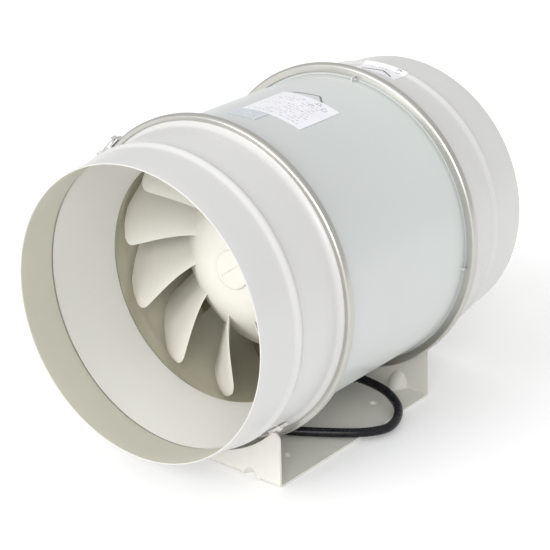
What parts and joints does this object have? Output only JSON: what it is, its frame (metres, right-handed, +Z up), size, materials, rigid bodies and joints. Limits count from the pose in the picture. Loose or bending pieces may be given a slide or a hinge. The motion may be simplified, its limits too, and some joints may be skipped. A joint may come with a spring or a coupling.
{
  "type": "inline duct fan",
  "caption": "Mixed-flow inline duct fan for round duct, with clamped joints, a folded steel bracket and a terminal box.",
  "frame": {"origin": "middle of the bracket's underside, straight below the middle of the fan", "axes": "+Y is the fan's axis in the direction of the air, from inlet to outlet; +X is across it; +Z is up"},
  "size_m": [0.2787, 0.374, 0.2934],
  "materials": {
    "cream_paint": "satin",
    "grey_paint": "satin",
    "bracket_paint": "satin",
    "impeller_plastic": "satin",
    "band_steel": "bright",
    "zinc_steel": "satin",
    "shaft_steel": "ground",
    "motor_alloy": "cast",
    "lamination": "matt",
    "copper": "satin",
    "black_rubber": "matt",
    "black_plastic": "satin",
    "cable_sheath": "satin",
    "grey_plastic": "satin",
    "white_plastic": "satin",
    "label_film": "satin"
  },
  "bodies": {
    "casing": {"mounting_bracket": "bracket_paint", "bracket_rivet_inlet_left": "zinc_steel", "bracket_rivet_inlet_right": "zinc_steel", "bracket_rivet_outlet_left": "zinc_steel", "bracket_rivet_outlet_right": "zinc_steel", "inlet_spigot": "cream_paint", "outlet_spigot": "cream_paint", "body_casing": "grey_paint", "inlet_nozzle": "cream_paint", "guide_vane_housing": "grey_plastic", "inlet_gasket": "black_rubber", "outlet_gasket": "black_rubber", "inlet_clamp_band": "band_steel", "outlet_clamp_band": "band_steel", "inlet_latch_hook": "zinc_steel", "inlet_latch_base": "zinc_steel", "inlet_latch_pin": "zinc_steel", "outlet_latch_hook": "zinc_steel", "outlet_latch_base": "zinc_steel", "outlet_latch_pin": "zinc_steel", "motor_front_shield": "motor_alloy", "motor_can": "motor_alloy", "motor_rear_shield": "motor_alloy", "front_bearing": "shaft_steel", "rear_bearing": "shaft_steel", "stator_core": "lamination", "front_winding": "copper", "rear_winding": "copper", "motor_screw_1": "zinc_steel", "motor_screw_2": "zinc_steel", "motor_screw_3": "zinc_steel", "motor_screw_4": "zinc_steel", "motor_lead_inside": "cable_sheath", "cable_outlet": "black_rubber", "motor_cable": "cable_sheath", "motor_cable_gland": "black_plastic", "terminal_box_tray": "grey_plastic", "terminal_box_lid": "grey_plastic", "terminal_block": "white_plastic", "run_capacitor": "white_plastic", "supply_cable_gland": "black_plastic", "box_screw_1": "zinc_steel", "box_screw_2": "zinc_steel", "lid_screw_1": "zinc_steel", "lid_screw_2": "zinc_steel", "lid_screw_3": "zinc_steel", "lid_screw_4": "zinc_steel", "rating_label": "label_film", "airflow_label": "label_film"},
    "rotor": {"impeller": "impeller_plastic", "impeller_cap": "impeller_plastic", "motor_shaft": "shaft_steel", "rotor_core": "lamination"},
    "inlet_lever": {"inlet_latch_lever": "zinc_steel"},
    "inlet_bail": {"inlet_latch_bail": "zinc_steel"},
    "outlet_lever": {"outlet_latch_lever": "zinc_steel"},
    "outlet_bail": {"outlet_latch_bail": "zinc_steel"}
  },
  "joints": [
    {"name": "impeller_spin", "type": "hinge", "parent": "casing", "child": "rotor", "pos_m": [0, 0, 0.154], "axis": [0, 1, 0], "continuous": true},
    {"name": "inlet_lever_hinge", "type": "hinge", "parent": "casing", "child": "inlet_lever", "pos_m": [-0.11948, -0.0905, 0.23434], "axis": [0, 1, 0], "range_deg": [0, 110]},
    {"name": "inlet_bail_hinge", "type": "hinge", "parent": "inlet_lever", "child": "inlet_bail", "pos_m": [-0.12366, -0.0905, 0.22751], "axis": [0, 1, 0], "range_deg": [-110, 0]},
    {"name": "outlet_lever_hinge", "type": "hinge", "parent": "casing", "child": "outlet_lever", "pos_m": [-0.1141, 0.0905, 0.06618], "axis": [0, 1, 0], "range_deg": [0, 110]},
    {"name": "outlet_bail_hinge", "type": "hinge", "parent": "outlet_lever", "child": "outlet_bail", "pos_m": [-0.10895, 0.0905, 0.06005], "axis": [0, 1, 0], "range_deg": [-110, 0]}
  ],
  "couplings": [
    {"joint": "inlet_bail_hinge", "follows": "inlet_lever_hinge", "ratio": -1},
    {"joint": "outlet_bail_hinge", "follows": "outlet_lever_hinge", "ratio": -1}
  ]
}
